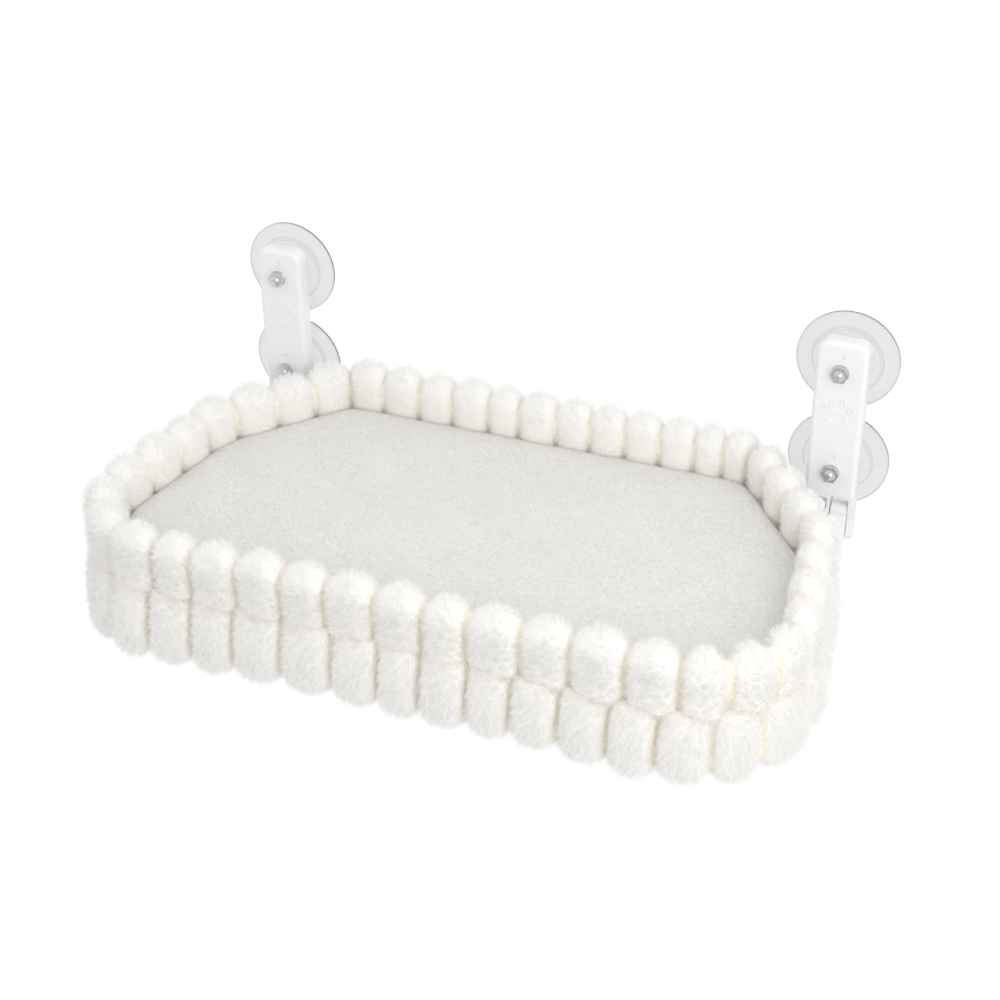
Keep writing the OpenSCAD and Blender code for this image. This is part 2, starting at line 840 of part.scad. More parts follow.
lower_run(wrap_start(left_side_first), wrap_pitch, side_count);  // rolls_lower_side_left
lower_run(wrap_start(left_rear_first), wrap_pitch, rear_count);  // rolls_lower_rear_left
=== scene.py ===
import math

import bmesh
import bpy
import numpy as np
from mathutils import Matrix, Vector


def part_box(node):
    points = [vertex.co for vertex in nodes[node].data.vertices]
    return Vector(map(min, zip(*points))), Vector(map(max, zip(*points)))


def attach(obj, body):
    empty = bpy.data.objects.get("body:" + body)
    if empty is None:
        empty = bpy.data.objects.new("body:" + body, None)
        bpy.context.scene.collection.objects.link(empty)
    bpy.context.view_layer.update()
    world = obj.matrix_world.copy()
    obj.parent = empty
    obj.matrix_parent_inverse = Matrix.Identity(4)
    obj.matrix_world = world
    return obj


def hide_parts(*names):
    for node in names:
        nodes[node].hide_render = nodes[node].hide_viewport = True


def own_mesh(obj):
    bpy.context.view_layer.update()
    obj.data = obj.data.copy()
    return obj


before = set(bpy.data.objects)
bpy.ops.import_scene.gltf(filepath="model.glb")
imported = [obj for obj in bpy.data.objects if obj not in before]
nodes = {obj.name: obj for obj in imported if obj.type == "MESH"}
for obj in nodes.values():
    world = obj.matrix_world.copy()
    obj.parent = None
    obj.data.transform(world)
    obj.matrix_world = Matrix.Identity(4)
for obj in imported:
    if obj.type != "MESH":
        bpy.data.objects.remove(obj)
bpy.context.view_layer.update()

# Camera, floor and light. The perch is seen from the right and from above, as it hangs on a window,
# with a wide plain floor well below it. The world and one large round lamp light it softly, and
# both floor and world show plain white.
view_yaw, view_pitch, view_roll = math.radians(22.73), math.radians(31.58), math.radians(-0.74)
view_place = Vector((0.48715, -1.29112, 0.70336))
view_lens, view_sensor = 63.76, 36.0

cos_yaw, sin_yaw = math.cos(view_yaw), math.sin(view_yaw)
cos_pitch, sin_pitch = math.cos(view_pitch), math.sin(view_pitch)
look = Vector((-sin_yaw * cos_pitch, cos_yaw * cos_pitch, -sin_pitch))
across = Vector((cos_yaw, sin_yaw, 0.0))
upward = across.cross(look)
turn = Matrix.Rotation(-view_roll, 3, look)
across, upward = turn @ across, turn @ upward
camera = bpy.data.objects.new("photo_camera", bpy.data.cameras.new("photo_camera"))
bpy.context.scene.collection.objects.link(camera)
camera.matrix_world = Matrix((
    (across.x, upward.x, -look.x, view_place.x),
    (across.y, upward.y, -look.y, view_place.y),
    (across.z, upward.z, -look.z, view_place.z),
    (0, 0, 0, 1),
))
camera.data.lens = view_lens
camera.data.sensor_width = view_sensor
camera.data.clip_start, camera.data.clip_end = 0.05, 50.0
bpy.context.scene.camera = camera
bpy.context.scene.view_settings.view_transform = "Standard"


def number_math(tree, operation, *values):
    """A math node's result, from sockets and plain numbers."""
    made = tree.nodes.new("ShaderNodeMath")
    made.operation = operation
    for taken, value in zip(made.inputs, values):
        if isinstance(value, (int, float)):
            taken.default_value = value
        else:
            tree.links.new(value, taken)
    return made.outputs[0]


def show_white(tree, lit, white_kind, output):
    """Plain white for camera, clear and glossy rays, and the lit shader for all others."""
    white = tree.nodes.new(white_kind)
    white.inputs["Color"].default_value = (1, 1, 1, 1)
    white.inputs["Strength"].default_value = 1.0
    path = tree.nodes.new("ShaderNodeLightPath")
    direct = number_math(tree, "MAXIMUM", path.outputs["Is Camera Ray"],
                         path.outputs["Is Transmission Ray"])
    mix = tree.nodes.new("ShaderNodeMixShader")
    tree.links.new(number_math(tree, "MAXIMUM", path.outputs["Is Glossy Ray"], direct),
                   mix.inputs["Fac"])
    tree.links.new(lit, mix.inputs[1])
    tree.links.new(white.outputs[0], mix.inputs[2])
    tree.links.new(mix.outputs[0], tree.nodes[output].inputs["Surface"])


floor_reach, floor_level, floor_grey = 9, -0.75, 0.75
floor_mesh = bpy.data.meshes.new("floor")
floor_mesh.from_pydata([
    (-floor_reach, -floor_reach, floor_level), (floor_reach, -floor_reach, floor_level),
    (floor_reach, floor_reach, floor_level), (-floor_reach, floor_reach, floor_level),
], [], [(0, 1, 2, 3)])
floor = bpy.data.objects.new("floor", floor_mesh)
bpy.context.scene.collection.objects.link(floor)
floor_paint = bpy.data.materials.new("floor_white")
floor_paint.use_nodes = True
shader = floor_paint.node_tree.nodes["Principled BSDF"]
shader.inputs["Base Color"].default_value = (floor_grey, floor_grey, floor_grey, 1)
shader.inputs["Roughness"].default_value = 0.9
shader.inputs["Specular IOR Level"].default_value = 0.2
show_white(floor_paint.node_tree, shader.outputs[0], "ShaderNodeEmission", "Material Output")
floor_mesh.materials.append(floor_paint)

sky_strength, sky_slope = 0.77, 0.22
world = bpy.data.worlds.new("studio")
bpy.context.scene.world = world
world.use_nodes = True
tree = world.node_tree
sky = tree.nodes["Background"]
sky.inputs["Color"].default_value = (1.0, 1.0, 1.0, 1)
direction = tree.nodes.new("ShaderNodeTexCoord")
split = tree.nodes.new("ShaderNodeSeparateXYZ")
tree.links.new(direction.outputs["Generated"], split.inputs[0])
tree.links.new(number_math(tree, "MULTIPLY_ADD", split.outputs["Z"], sky_slope, sky_strength),
               sky.inputs["Strength"])
show_white(tree, sky.outputs[0], "ShaderNodeBackground", "World Output")

lamp_place, lamp_target = Vector((0.98, -1.12, 0.62)), Vector((0, -0.15, -0.05))
lamp_width, lamp_power = 1.1, 7.5
lamp = bpy.data.lights.new("key_lamp", "AREA")
lamp.shape, lamp.size, lamp.energy = "DISK", lamp_width, lamp_power
holder = bpy.data.objects.new("key_lamp", lamp)
bpy.context.scene.collection.objects.link(holder)
holder.location = lamp_place
holder.rotation_mode = "QUATERNION"
holder.rotation_quaternion = (lamp_place - lamp_target).to_track_quat("Z", "Y")


# Suction cups. Four clear soft vinyl cups, each moulded in one piece round the head of a stud, with
# a thin sealing disc and a thick middle. They hold the arms to the pane. Rings of painted shade in
# the vinyl's colour mark the rim, and the step from disc to middle, and stand for the dark lines
# that refraction draws at these edges.
def plain_material(name, colour, roughness, metallic=0.0, **sockets):
    made = bpy.data.materials.new(name)
    made.use_nodes = True
    bsdf = made.node_tree.nodes["Principled BSDF"]
    bsdf.inputs["Base Color"].default_value = (*colour, 1.0)
    bsdf.inputs["Roughness"].default_value = roughness
    bsdf.inputs["Metallic"].default_value = metallic
    for key, value in sockets.items():
        bsdf.inputs[key.replace("_", " ")].default_value = value
    return made


def add_bump(made, scale, depth, detail, strength):
    """Fine grain on a material's surface. Returns its noise, for the colour to follow."""
    tree = made.node_tree
    place = tree.nodes.new("ShaderNodeTexCoord")
    noise = tree.nodes.new("ShaderNodeTexNoise")
    noise.inputs["Scale"].default_value = scale
    noise.inputs["Detail"].default_value = detail
    bump = tree.nodes.new("ShaderNodeBump")
    bump.inputs["Distance"].default_value = depth
    bump.inputs["Strength"].default_value = strength
    tree.links.new(place.outputs["Object"], noise.inputs["Vector"])
    tree.links.new(noise.outputs["Fac"], bump.inputs["Height"])
    tree.links.new(bump.outputs["Normal"], tree.nodes["Principled BSDF"].inputs["Normal"])
    return noise


def vector_math(tree, operation, first, second=None, scale=None):
    """A vector math node's result. The second value is a socket or three plain numbers."""
    made = tree.nodes.new("ShaderNodeVectorMath")
    made.operation = operation
    tree.links.new(first, made.inputs[0])
    if isinstance(second, tuple):
        made.inputs[1].default_value = second
    elif second is not None:
        tree.links.new(second, made.inputs[1])
    if scale is not None:
        tree.links.new(scale, made.inputs["Scale"])
    return made.outputs["Value" if operation == "LENGTH" else "Vector"]


def finish_node(name, material):
    piece = nodes[name]
    piece.data.materials.clear()
    piece.data.materials.append(material)


cup_place, cup_plane = (0.254, 0.0, 0.046), (1.0, 0.0, 1.0)
decimetres = 10.0
vinyl_tint = (1.0, 1.01, 1.03)
# Colour of the vinyl at each distance from a cup's middle, in decimetres. The dark rings at the
# step from disc to middle and at the rim are painted shade, for the dark lines of refraction there.
painted_vinyl_shade = [
    (0.0, 0.76), (0.250, 0.84), (0.2790, 0.84), (0.2815, 0.42), (0.2840, 0.9), (0.2900, 0.86),
    (0.2930, 0.5), (0.2960, 0.84), (0.40, 0.83), (0.418, 0.76), (0.425, 0.42),
]
vinyl = plain_material("clear_vinyl", (0.78, 0.79, 0.81), 0.05, IOR=1.38, Transmission_Weight=0.9)
add_bump(vinyl, 60.0, 0.0004, 2.0, 0.3)
tree = vinyl.node_tree
place = tree.nodes.new("ShaderNodeTexCoord")
mirrored = vector_math(tree, "ABSOLUTE", place.outputs["Object"])
centred = vector_math(tree, "SUBTRACT", mirrored, cup_place)
radius = vector_math(tree, "LENGTH", vector_math(tree, "MULTIPLY", centred, cup_plane))
rings = tree.nodes.new("ShaderNodeValToRGB")
rings.color_ramp.interpolation = "LINEAR"
while len(rings.color_ramp.elements) < len(painted_vinyl_shade):
    rings.color_ramp.elements.new(1.0)
for element, (at, shade) in zip(rings.color_ramp.elements, painted_vinyl_shade):
    element.position = at
    element.color = (*(shade * part for part in vinyl_tint), 1)
tree.links.new(number_math(tree, "MULTIPLY", radius, decimetres), rings.inputs["Fac"])
tree.links.new(rings.outputs["Color"], tree.nodes["Principled BSDF"].inputs["Base Color"])
for name in ("cup_left_upper", "cup_left_lower", "cup_right_upper", "cup_right_lower"):
    finish_node(name, vinyl)


# Studs, washers and cap nuts. Zinc-plated steel studs, moulded into the cups, and zinc-plated
# washers and polished domed nuts, which draw the cups against the backs of the arms.
def grained_material(name, colour, roughness, metallic, grain, low, high):
    """A finish whose colour varies with its fine grain, from low to high. Grain gives the scale,
    depth, detail and strength of the bump."""
    made = plain_material(name, colour, roughness, metallic)
    noise = add_bump(made, *grain)
    tree = made.node_tree
    ramp = tree.nodes.new("ShaderNodeValToRGB")
    ramp.color_ramp.elements[0].position, ramp.color_ramp.elements[1].position = 0.35, 0.65
    ramp.color_ramp.elements[0].color = (*low, 1)
    ramp.color_ramp.elements[1].color = (*high, 1)
    tree.links.new(noise.outputs["Fac"], ramp.inputs["Fac"])
    tree.links.new(ramp.outputs["Color"], tree.nodes["Principled BSDF"].inputs["Base Color"])
    return made


zinc = grained_material("zinc_plate", (0.72, 0.73, 0.74), 0.32, 1.0, (700.0, 0.00008, 3.0, 0.4),
                        (0.66, 0.67, 0.68), (0.78, 0.79, 0.8))
chrome = grained_material("nut_chrome", (0.58, 0.59, 0.6), 0.1, 1.0, (400.0, 0.00005, 2.0, 0.3),
                          (0.52, 0.53, 0.54), (0.64, 0.65, 0.66))
for side in ("left", "right"):
    finish_node("cup_studs_" + side, zinc)
    finish_node("washers_" + side, zinc)
    finish_node("cap_nuts_" + side, chrome)


# Arms and hinge elbows. White moulded plastic with a satin face. Each arm is one moulding with a
# raised paw print, bolted to two cups, and each elbow hangs on the pin at its arm's lower end and
# holds the tube frame.
arm_plastic = grained_material(
    "white_plastic", (0.9, 0.9, 0.91), 0.34, 0.0, (900.0, 0.00006, 3.0, 0.5),
    (0.885, 0.885, 0.895), (0.91, 0.91, 0.92))
for side in ("left", "right"):
    finish_node("arm_" + side, arm_plastic)
    finish_node("elbow_" + side, arm_plastic)


# Hinge pins, their clips and the screws that hold the frame. Plain steel. Each pin is pushed
# through the arm's inner cheek and the elbow into the outer cheek, and a clip keeps it there. The
# screws go up through the elbows into the tubes.
pin_steel = grained_material("pin_steel", (0.6, 0.61, 0.62), 0.3, 1.0, (800.0, 0.00005, 3.0, 0.4),
                             (0.54, 0.55, 0.56), (0.66, 0.67, 0.68))
for side in ("left", "right"):
    for name in ("hinge_pin_", "pin_clip_", "socket_screw_"):
        finish_node(name + side, pin_steel)


# Tube frame. A bent steel bow and two cross tubes welded to it, powder-coated white. Its ends are
# pushed into the sockets of the elbows.
coat = grained_material("powder_coat", (0.88, 0.88, 0.88), 0.45, 0.0, (1500.0, 0.0001, 4.0, 0.6),
                        (0.86, 0.86, 0.86), (0.9, 0.9, 0.9))
for name in ("bow_tube", "rear_tube", "middle_tube"):
    finish_node(name, coat)


# Base panel. A sheet of fibreboard, cut to the bed's outline and laid on the tubes. The pad lies
# on it, and the cloth underside hides it from below.
board = grained_material("fibreboard", (0.62, 0.5, 0.36), 0.8, 0.0, (260.0, 0.0003, 6.0, 0.7),
                         (0.52, 0.41, 0.29), (0.68, 0.56, 0.42))
finish_node("base_panel", board)


# Sleeping pad. A flat cushion of plush with a short curly pile, laid on the base panel and crowned
# a little in the middle, where the cloth has slight dents. The outline of the bed and the pile are
# made here, and the plush wall takes them over.

# The bed's outline has a straight back, slanted rear corners and a wider front with round corners.
# It is walked along its right half, from the middle of the back edge to the middle of the front.
back_width, rear_width, front_width = 0.381, 0.540, 0.594
bed_gap, bed_slant, bed_depth = 0.022, 0.106, 0.312
corners = [
    Vector((0.0, -bed_gap)),
    Vector((back_width / 2, -bed_gap)),
    Vector((rear_width / 2, -(bed_gap + bed_slant))),
    Vector((front_width / 2, -(bed_gap + bed_depth))),
    Vector((0.0, -(bed_gap + bed_depth))),
]
corner_radii = [0.0, 0.040, 0.060, 0.079, 0.0]
outline_steps = 24
line_points, line_out, line_length = [], [], []
walked = 0.0
place = corners[0]
for i in (1, 2, 3):
    before, after = corners[i] - corners[i - 1], corners[i + 1] - corners[i]
    angle_in = math.atan2(before.y, before.x)
    bend = (angle_in - math.atan2(after.y, after.x)) % (2 * math.pi)
    cut = corner_radii[i] * math.tan(bend / 2)
    start = corners[i] - before.normalized() * cut
    straight = (start - place).length
    for k in range(outline_steps):
        p = place.lerp(start, k / outline_steps)
        line_points.append((p.x, p.y))
        line_out.append((-math.sin(angle_in), math.cos(angle_in)))
        line_length.append(walked + straight * k / outline_steps)
    walked += straight
    centre = start + corner_radii[i] * Vector((math.sin(angle_in), -math.cos(angle_in)))
    for k in range(outline_steps):
        a = angle_in - bend * k / outline_steps
        o = Vector((-math.sin(a), math.cos(a)))
        p = centre + corner_radii[i] * o
        line_points.append((p.x, p.y))
        line_out.append((o.x, o.y))
        line_length.append(walked + corner_radii[i] * bend * k / outline_steps)
    walked += corner_radii[i] * bend
    if i == 1:
        back_half = walked - corner_radii[1] * bend / 2
    a = angle_in - bend
    o = Vector((-math.sin(a), math.cos(a)))
    place = centre + corner_radii[i] * o
line_points += [(place.x, place.y), (0.0, corners[4].y)]
line_out += [(0.0, -1.0), (0.0, -1.0)]
line_length += [walked, walked + place.x]
half_length = walked + place.x
line_points, line_out = np.array(line_points), np.array(line_out)
line_length = np.array(line_length)
bed_middle = np.array((0.0, -(bed_gap + bed_depth / 2)))


def on_outline(s):
    """Points and outward directions of the whole outline at lengths s from the back's middle."""
    s = np.asarray(s, float)
    left = (s < 0) | (s > half_length)
    t = np.where(s < 0, -s, np.where(s > half_length, 2 * half_length - s, s))
    p = np.stack([np.interp(t, line_length, line_points[:, k]) for k in (0, 1)], -1)
    o = np.stack([np.interp(t, line_length, line_out[:, k]) for k in (0, 1)], -1)
    o /= np.linalg.norm(o, axis=-1, keepdims=True)
    p[left, 0] *= -1
    o[left, 0] *= -1
    return p, o


def round_mesh(name, rings):
    """A mesh of closed rings of points, joined one to the next."""
    columns = len(rings[0])
    faces = []
    for i in range(len(rings) - 1):
        for j in range(columns):
            j2 = (j + 1) % columns
            faces.append((i * columns + j, i * columns + j2,
                          (i + 1) * columns + j2, (i + 1) * columns + j))
    mesh = bpy.data.meshes.new(name)
    mesh.from_pydata([tuple(p) for ring in rings for p in ring], [], faces)
    return mesh


def sew_up(mesh, close_rims=False):
    """Close the open rims if asked, point the faces outwards and smooth them."""
    bm = bmesh.new()
    bm.from_mesh(mesh)
    if close_rims:
        bmesh.ops.holes_fill(bm, edges=[e for e in bm.edges if e.is_boundary])
    bmesh.ops.recalc_face_normals(bm, faces=bm.faces)
    for face in bm.faces:
        face.smooth = True
    bm.to_mesh(mesh)
    bm.free()


def mark_points(mesh, name, values):
    """Store a number or a direction for each point of a mesh."""
    values = np.array(values, np.float32)
    kind, key = ("FLOAT_VECTOR", "vector") if values.ndim == 2 else ("FLOAT", "value")
    mesh.attributes.new(name, kind, "POINT").data.foreach_set(key, values.ravel())


# The pile stands on every plush face: fine hairs that lean in soft clumps. One tree of nodes plants
# it on a cloth. The cloth says how full the pile is and how it is combed.
pile_tree = bpy.data.node_groups.new("plush_pile", "GeometryNodeTree")
for name, kind, value in (
    ("Cloth", "NodeSocketGeometry", None),
    ("Density", "NodeSocketFloat", 100000.0),
    ("Length", "NodeSocketFloat", 0.008),
    ("Thickness", "NodeSocketFloat", 0.0003),
    ("Clump Size", "NodeSocketFloat", 0.012),
    ("Clump Pull", "NodeSocketFloat", 0.8),
    ("Sway", "NodeSocketFloat", 0.3),
    ("Nap Lean", "NodeSocketFloat", 1.0),
    ("Hair Lean", "NodeSocketFloat", 0.3),
    ("Seed", "NodeSocketInt", 1),
    ("Cloth Finish", "NodeSocketMaterial", None),
    ("Pile Finish", "NodeSocketMaterial", None),
):
    made = pile_tree.interface.new_socket(name=name, in_out="INPUT", socket_type=kind)
    if value is not None:
        made.default_value = value
pile_tree.interface.new_socket(name="Plush", in_out="OUTPUT", socket_type="NodeSocketGeometry")
add, link = pile_tree.nodes.new, pile_tree.links.new
given, result = add("NodeGroupInput").outputs, add("NodeGroupOutput")


def cloth_mark(name, kind):
    """The cloth's own value or direction of that name, at each of its points."""
    made = add("GeometryNodeInputNamedAttribute")
    made.data_type = kind
    made.inputs["Name"].default_value = name
    return made.outputs["Attribute"]


def random_vector(low, high):
    made = add("FunctionNodeRandomValue")
    made.data_type = "FLOAT_VECTOR"
    made.inputs["Min"].default_value = low
    made.inputs["Max"].default_value = high
    link(given["Seed"], made.inputs["Seed"])
    return made.outputs["Value"]


thinning = 4.0  # cloth that is less than a quarter full gets fewer hairs, not only shorter ones
full = cloth_mark("full", "FLOAT")
plant = add("GeometryNodeDistributePointsOnFaces")
plant.distribute_method = "RANDOM"
link(given["Cloth"], plant.inputs["Mesh"])
link(given["Seed"], plant.inputs["Seed"])
covered = number_math(pile_tree, "MINIMUM", 1.0,
                      number_math(pile_tree, "MULTIPLY", full, thinning))
link(number_math(pile_tree, "MULTIPLY", given["Density"], covered), plant.inputs["Density"])

wave_share, sway_strength = 0.35, 4.0
where = add("GeometryNodeInputPosition").outputs[0]
waves = add("ShaderNodeTexNoise")
waves.inputs["Detail"].default_value = 2.0
link(where, waves.inputs["Vector"])
link(number_math(pile_tree, "DIVIDE", wave_share, given["Clump Size"]), waves.inputs["Scale"])
either_way = vector_math(pile_tree, "SUBTRACT", waves.outputs["Color"], (0.5, 0.5, 0.5))
sway = vector_math(pile_tree, "SCALE", either_way,
                   scale=number_math(pile_tree, "MULTIPLY", given["Sway"], sway_strength))
cells = add("ShaderNodeTexVoronoi")
link(where, cells.inputs["Vector"])
link(number_math(pile_tree, "DIVIDE", 1.0, given["Clump Size"]), cells.inputs["Scale"])
gather = vector_math(pile_tree, "SCALE",
                     vector_math(pile_tree, "SUBTRACT", cells.outputs["Position"], where),
                     scale=number_math(pile_tree, "DIVIDE", given["Clump Pull"], given["Length"]))
loose = vector_math(pile_tree, "SCALE", random_vector((-1, -1, -1), (1, 1, 1)),
                    scale=given["Hair Lean"])
combed = vector_math(pile_tree, "SCALE", cloth_mark("nap", "FLOAT_VECTOR"),
                     scale=given["Nap Lean"])
lean = vector_math(pile_tree, "ADD",
                   vector_math(pile_tree, "ADD", plant.outputs["Normal"], combed),
                   vector_math(pile_tree, "ADD", sway, gather))
aim = add("FunctionNodeAlignEulerToVector")
aim.axis = "Z"
link(vector_math(pile_tree, "ADD", lean, loose), aim.inputs["Vector"])
link(random_vector((0, 0, 0), (0, 0, 2 * math.pi)), aim.inputs["Rotation"])

# A hair is one slim triangle. With a radius of 1 it spans 1.5, and a third of that lies behind its
# middle, so it is scaled to the hair's length and lifted by a third, to stand on its root.
hair_span, hair_thirds = 1.5, 3.0
blade = add("GeometryNodeMeshCircle")
blade.fill_type = "NGON"
blade.inputs["Vertices"].default_value = 3
blade.inputs["Radius"].default_value = 1.0
stretch = add("ShaderNodeCombineXYZ")
link(number_math(pile_tree, "DIVIDE", given["Length"], hair_span), stretch.inputs["X"])
link(given["Thickness"], stretch.inputs["Y"])
stretch.inputs["Z"].default_value = 1.0
lift = add("ShaderNodeCombineXYZ")
link(number_math(pile_tree, "DIVIDE", given["Length"], hair_thirds), lift.inputs["Z"])
hair = add("GeometryNodeTransform")
hair.inputs["Rotation"].default_value = (0, -math.pi / 2, 0)
link(blade.outputs["Mesh"], hair.inputs["Geometry"])
link(stretch.outputs["Vector"], hair.inputs["Scale"])
link(lift.outputs["Vector"], hair.inputs["Translation"])
hair_point = add("ShaderNodeSeparateXYZ")
link(add("GeometryNodeInputPosition").outputs[0], hair_point.inputs[0])
mark = add("GeometryNodeStoreNamedAttribute")
mark.data_type = "FLOAT"
mark.domain = "POINT"
mark.inputs["Name"].default_value = "along"
link(hair.outputs["Geometry"], mark.inputs["Geometry"])
link(number_math(pile_tree, "DIVIDE", hair_point.outputs["Z"], given["Length"]),
     mark.inputs["Value"])

shortest_share, longest_share = 0.65, 1.1
size = add("FunctionNodeRandomValue")
size.data_type = "FLOAT"
size.inputs[2].default_value = shortest_share
size.inputs[3].default_value = longest_share
link(given["Seed"], size.inputs["Seed"])
stand = add("GeometryNodeInstanceOnPoints")
link(plant.outputs["Points"], stand.inputs["Points"])
link(mark.outputs["Geometry"], stand.inputs["Instance"])
link(aim.outputs["Rotation"], stand.inputs["Rotation"])
link(number_math(pile_tree, "MULTIPLY", size.outputs[1], full), stand.inputs["Scale"])
real = add("GeometryNodeRealizeInstances")
link(stand.outputs["Instances"], real.inputs["Geometry"])
pile_finish = add("GeometryNodeSetMaterial")
link(real.outputs["Geometry"], pile_finish.inputs["Geometry"])
link(given["Pile Finish"], pile_finish.inputs["Material"])
cloth_finish = add("GeometryNodeSetMaterial")
link(given["Cloth"], cloth_finish.inputs["Geometry"])
link(given["Cloth Finish"], cloth_finish.inputs["Material"])
both = add("GeometryNodeJoinGeometry")
link(cloth_finish.outputs["Geometry"], both.inputs["Geometry"])
link(pile_finish.outputs["Geometry"], both.inputs["Geometry"])
link(both.outputs["Geometry"], result.inputs["Plush"])


def with_pile(name, cloth_mesh, values):
    """A plain mesh of a cloth and its pile."""
    source = bpy.data.objects.new(name + "_cloth", cloth_mesh)
    bpy.context.scene.collection.objects.link(source)
    planted = source.modifiers.new("pile", "NODES")
    planted.node_group = pile_tree
    for item in pile_tree.interface.items_tree:
        if item.in_out == "INPUT" and item.name in values:
            planted[item.identifier] = values[item.name]
    evaluated = source.evaluated_get(bpy.context.evaluated_depsgraph_get())
    mesh = bpy.data.meshes.new_from_object(evaluated)
    mesh.name = name
    bpy.data.objects.remove(source)
    piece = bpy.data.objects.new(name, mesh)
    bpy.context.scene.collection.objects.link(piece)
    return piece


def plush_material(name, root, tip, crease=None, through=0.0):
    """Hairs that turn from root colour to tip colour, and to the crease colour where the cloth lies
    in a
    crease: that colour is painted warm shade, for the light that bounces in the hollows. Through is
    the share of light that passes a hair."""
    made = plain_material(name, tip, 0.9)
    tree = made.node_tree
    bsdf = tree.nodes["Principled BSDF"]
    bsdf.inputs["Specular IOR Level"].default_value = 0.25
    bsdf.inputs["Sheen Weight"].default_value = 0.2
    bsdf.inputs["Sheen Roughness"].default_value = 0.5
    along = tree.nodes.new("ShaderNodeAttribute")
    along.attribute_name = "along"
    ramp = tree.nodes.new("ShaderNodeValToRGB")
    ramp.color_ramp.elements[0].position = 0.05
    ramp.color_ramp.elements[0].color = (*root, 1)
    ramp.color_ramp.elements[1].position = 0.75
    ramp.color_ramp.elements[1].color = (*tip, 1)
    tree.links.new(along.outputs["Fac"], ramp.inputs["Fac"])
    colour = ramp.outputs["Color"]
    # Painted shade: the warm crease colour is blended in where the cloth lies in a crease
    if crease is not None:
        unshaded = tree.nodes.new("ShaderNodeAttribute")
        unshaded.attribute_name = "unshaded"
        blend = tree.nodes.new("ShaderNodeMix")
        blend.data_type = "RGBA"
        blend.inputs["A"].default_value = (*crease, 1)
        tree.links.new(unshaded.outputs["Fac"], blend.inputs["Factor"])
        tree.links.new(colour, blend.inputs["B"])
        colour = blend.outputs["Result"]
    tree.links.new(colour, bsdf.inputs["Base Color"])
    if through:
        glow = tree.nodes.new("ShaderNodeBsdfTranslucent")
        mix = tree.nodes.new("ShaderNodeMixShader")
        mix.inputs["Fac"].default_value = through
        tree.links.new(colour, glow.inputs["Color"])
        tree.links.new(bsdf.outputs[0], mix.inputs[1])
        tree.links.new(glow.outputs[0], mix.inputs[2])
        tree.links.new(mix.outputs[0], tree.nodes["Material Output"].inputs["Surface"])
    return made


# The pad's cloth: rings from under its edge up over the rim, and then in to the middle
pad_low, pad_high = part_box("pad")
pad_pile_length, pad_inset, rim_inset = 0.003, 0.0128, 0.003
pad_foot, pile_room, rim_drop = 0.001, 0.0035, 0.001
edge_profile = [(0.012, 0.0), (0.006, 0.05), (0.002, 0.25), (0.0, 0.5), (0.0006, 0.8),
                (0.0014, 0.94), (rim_inset, 1.0)]
pad_crown, crown_power = 0.0015, 0.7
dent_depth, ripple_depth = 0.0009, 0.0007
edge_points, inner_rings, flat_rings = 260, 40, 5
pad_base, pad_rim = pad_low.z + pad_foot, pad_high.z - pile_room - rim_drop
p, o = on_outline(2 * half_length * np.arange(edge_points) / edge_points)
rings = []
for inset, level in edge_profile:
    q = p - (pad_inset + inset) * o
    z = pad_base + (pad_rim - pad_base) * level
    rings.append(np.column_stack([q, np.full(edge_points, z)]))
edge = p - (pad_inset + rim_inset) * o
for k in range(1, inner_rings):
    f = 1 - k / inner_rings
    q = bed_middle + f * (edge - bed_middle)
    x, y = q[:, 0], q[:, 1]
    rise = (1 - f) ** crown_power * pad_crown
    dents = (dent_depth * np.sin(x * 31 + 1.3) * np.cos(y * 44 + 0.4)
             + ripple_depth * np.sin(x * 73 + y * 58))
    rings.append(np.column_stack([q, pad_rim + rise + dents * min(1, k / flat_rings)]))
pad_mesh = round_mesh("pad_cloth", rings[::-1])
sew_up(pad_mesh, close_rims=True)

# Its pile covers the top and the upper edge, and its nap swirls from place to place
bare_edge = 0.012
at = np.array([v.co for v in pad_mesh.vertices])
x, y = at[:, 0], at[:, 1]
swirl = (2.6 + 0.7 * np.sin(60 * x + 3 * np.sin(38 * y))
         + 0.6 * np.sin(85 * y + 2 * np.sin(52 * x)))
mark_points(pad_mesh, "full", np.where(at[:, 2] > pad_low.z + bare_edge, 1.0, 0.0))
mark_points(pad_mesh, "nap", np.column_stack([np.sin(swirl), np.cos(swirl), 0 * swirl]))
pad_cloth = plush_material("pad_cloth", (0.9, 0.89, 0.87), (0.9, 0.89, 0.87))
add_bump(pad_cloth, 420.0, 0.002, 4.0, 0.8)
pad_pile = plush_material("pad_pile", (0.87, 0.857, 0.838), (0.882, 0.872, 0.86), through=0.45)
pad_piece = with_pile("pad_plush", pad_mesh, {
    "Density": 1800000.0, "Length": pad_pile_length, "Thickness": 0.00015,
    "Clump Size": 0.0055, "Clump Pull": 0.4, "Sway": 0.4, "Nap Lean": 1.0, "Hair Lean": 0.35,
    "Seed": 11, "Cloth Finish": pad_cloth, "Pile Finish": pad_pile})
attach(pad_piece, "bed")
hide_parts("pad")


# Plush wall. Two tiers of stuffed rolls, sewn side by side round the whole bed: the cloth dives
# into a crease between two rolls, and the tiers meet at a pinched waist. The pile is long and soft.

